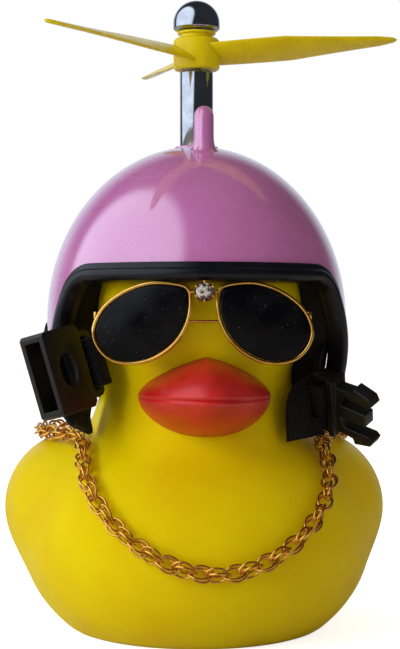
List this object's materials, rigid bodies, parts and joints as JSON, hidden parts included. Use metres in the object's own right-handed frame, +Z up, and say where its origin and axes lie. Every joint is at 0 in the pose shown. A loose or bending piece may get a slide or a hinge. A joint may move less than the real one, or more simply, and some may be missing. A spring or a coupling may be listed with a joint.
{
  "type": "rubber duck with helmet and propeller",
  "caption": "Hollow vinyl dashboard duck in an open-face toy helmet with a free-spinning propeller, sunglasses, hanging chin strap halves and a neck chain.",
  "frame": {"origin": "middle of the duck's flat base, on the surface it stands on", "axes": "+Z up along the propeller post, -Y the way the duck looks, +X to the duck's left"},
  "size_m": [0.0806, 0.0886, 0.131],
  "materials": {
    "duck_vinyl": "soft satin vinyl, with a red painted bill",
    "squeaker_plastic": "plain moulded",
    "helmet_plastic": "glossy with fine scratches",
    "liner_foam": "black foam",
    "edge_rubber": "satin black",
    "post_chrome": "mirror plated",
    "fastener_steel": "bright",
    "propeller_plastic": "glossy moulded",
    "frame_gold": "polished gold plate",
    "lens_black": "opaque black with dust specks",
    "jewel_crystal": "cut and clear",
    "strap_webbing": "woven black webbing",
    "buckle_plastic": "satin moulded",
    "chain_gold": "polished gold"
  },
  "bodies": {
    "root": {"duck_body": "duck_vinyl", "squeaker_housing": "squeaker_plastic", "squeaker_reed": "squeaker_plastic", "helmet_shell": "helmet_plastic", "helmet_liner": "liner_foam", "helmet_trim": "edge_rubber", "propeller_post": "post_chrome", "post_screw": "fastener_steel", "propeller_axle": "fastener_steel", "propeller_cap": "post_chrome", "sunglasses_frame": "frame_gold", "lens_right": "lens_black", "lens_left": "lens_black", "jewel_cup": "frame_gold", "bridge_jewel": "jewel_crystal", "chin_strap_right": "strap_webbing", "chin_strap_left": "strap_webbing", "buckle_socket": "buckle_plastic", "buckle_plug": "buckle_plastic", "neck_chain": "chain_gold", "chain_clasp": "chain_gold"},
    "propeller": {"propeller": "propeller_plastic"}
  },
  "joints": [
    {"name": "propeller_spin", "type": "hinge", "parent": "root", "child": "propeller", "pos_m": [0, 0, 0.1197], "axis": [0, 0, 1], "continuous": true}
  ]
}
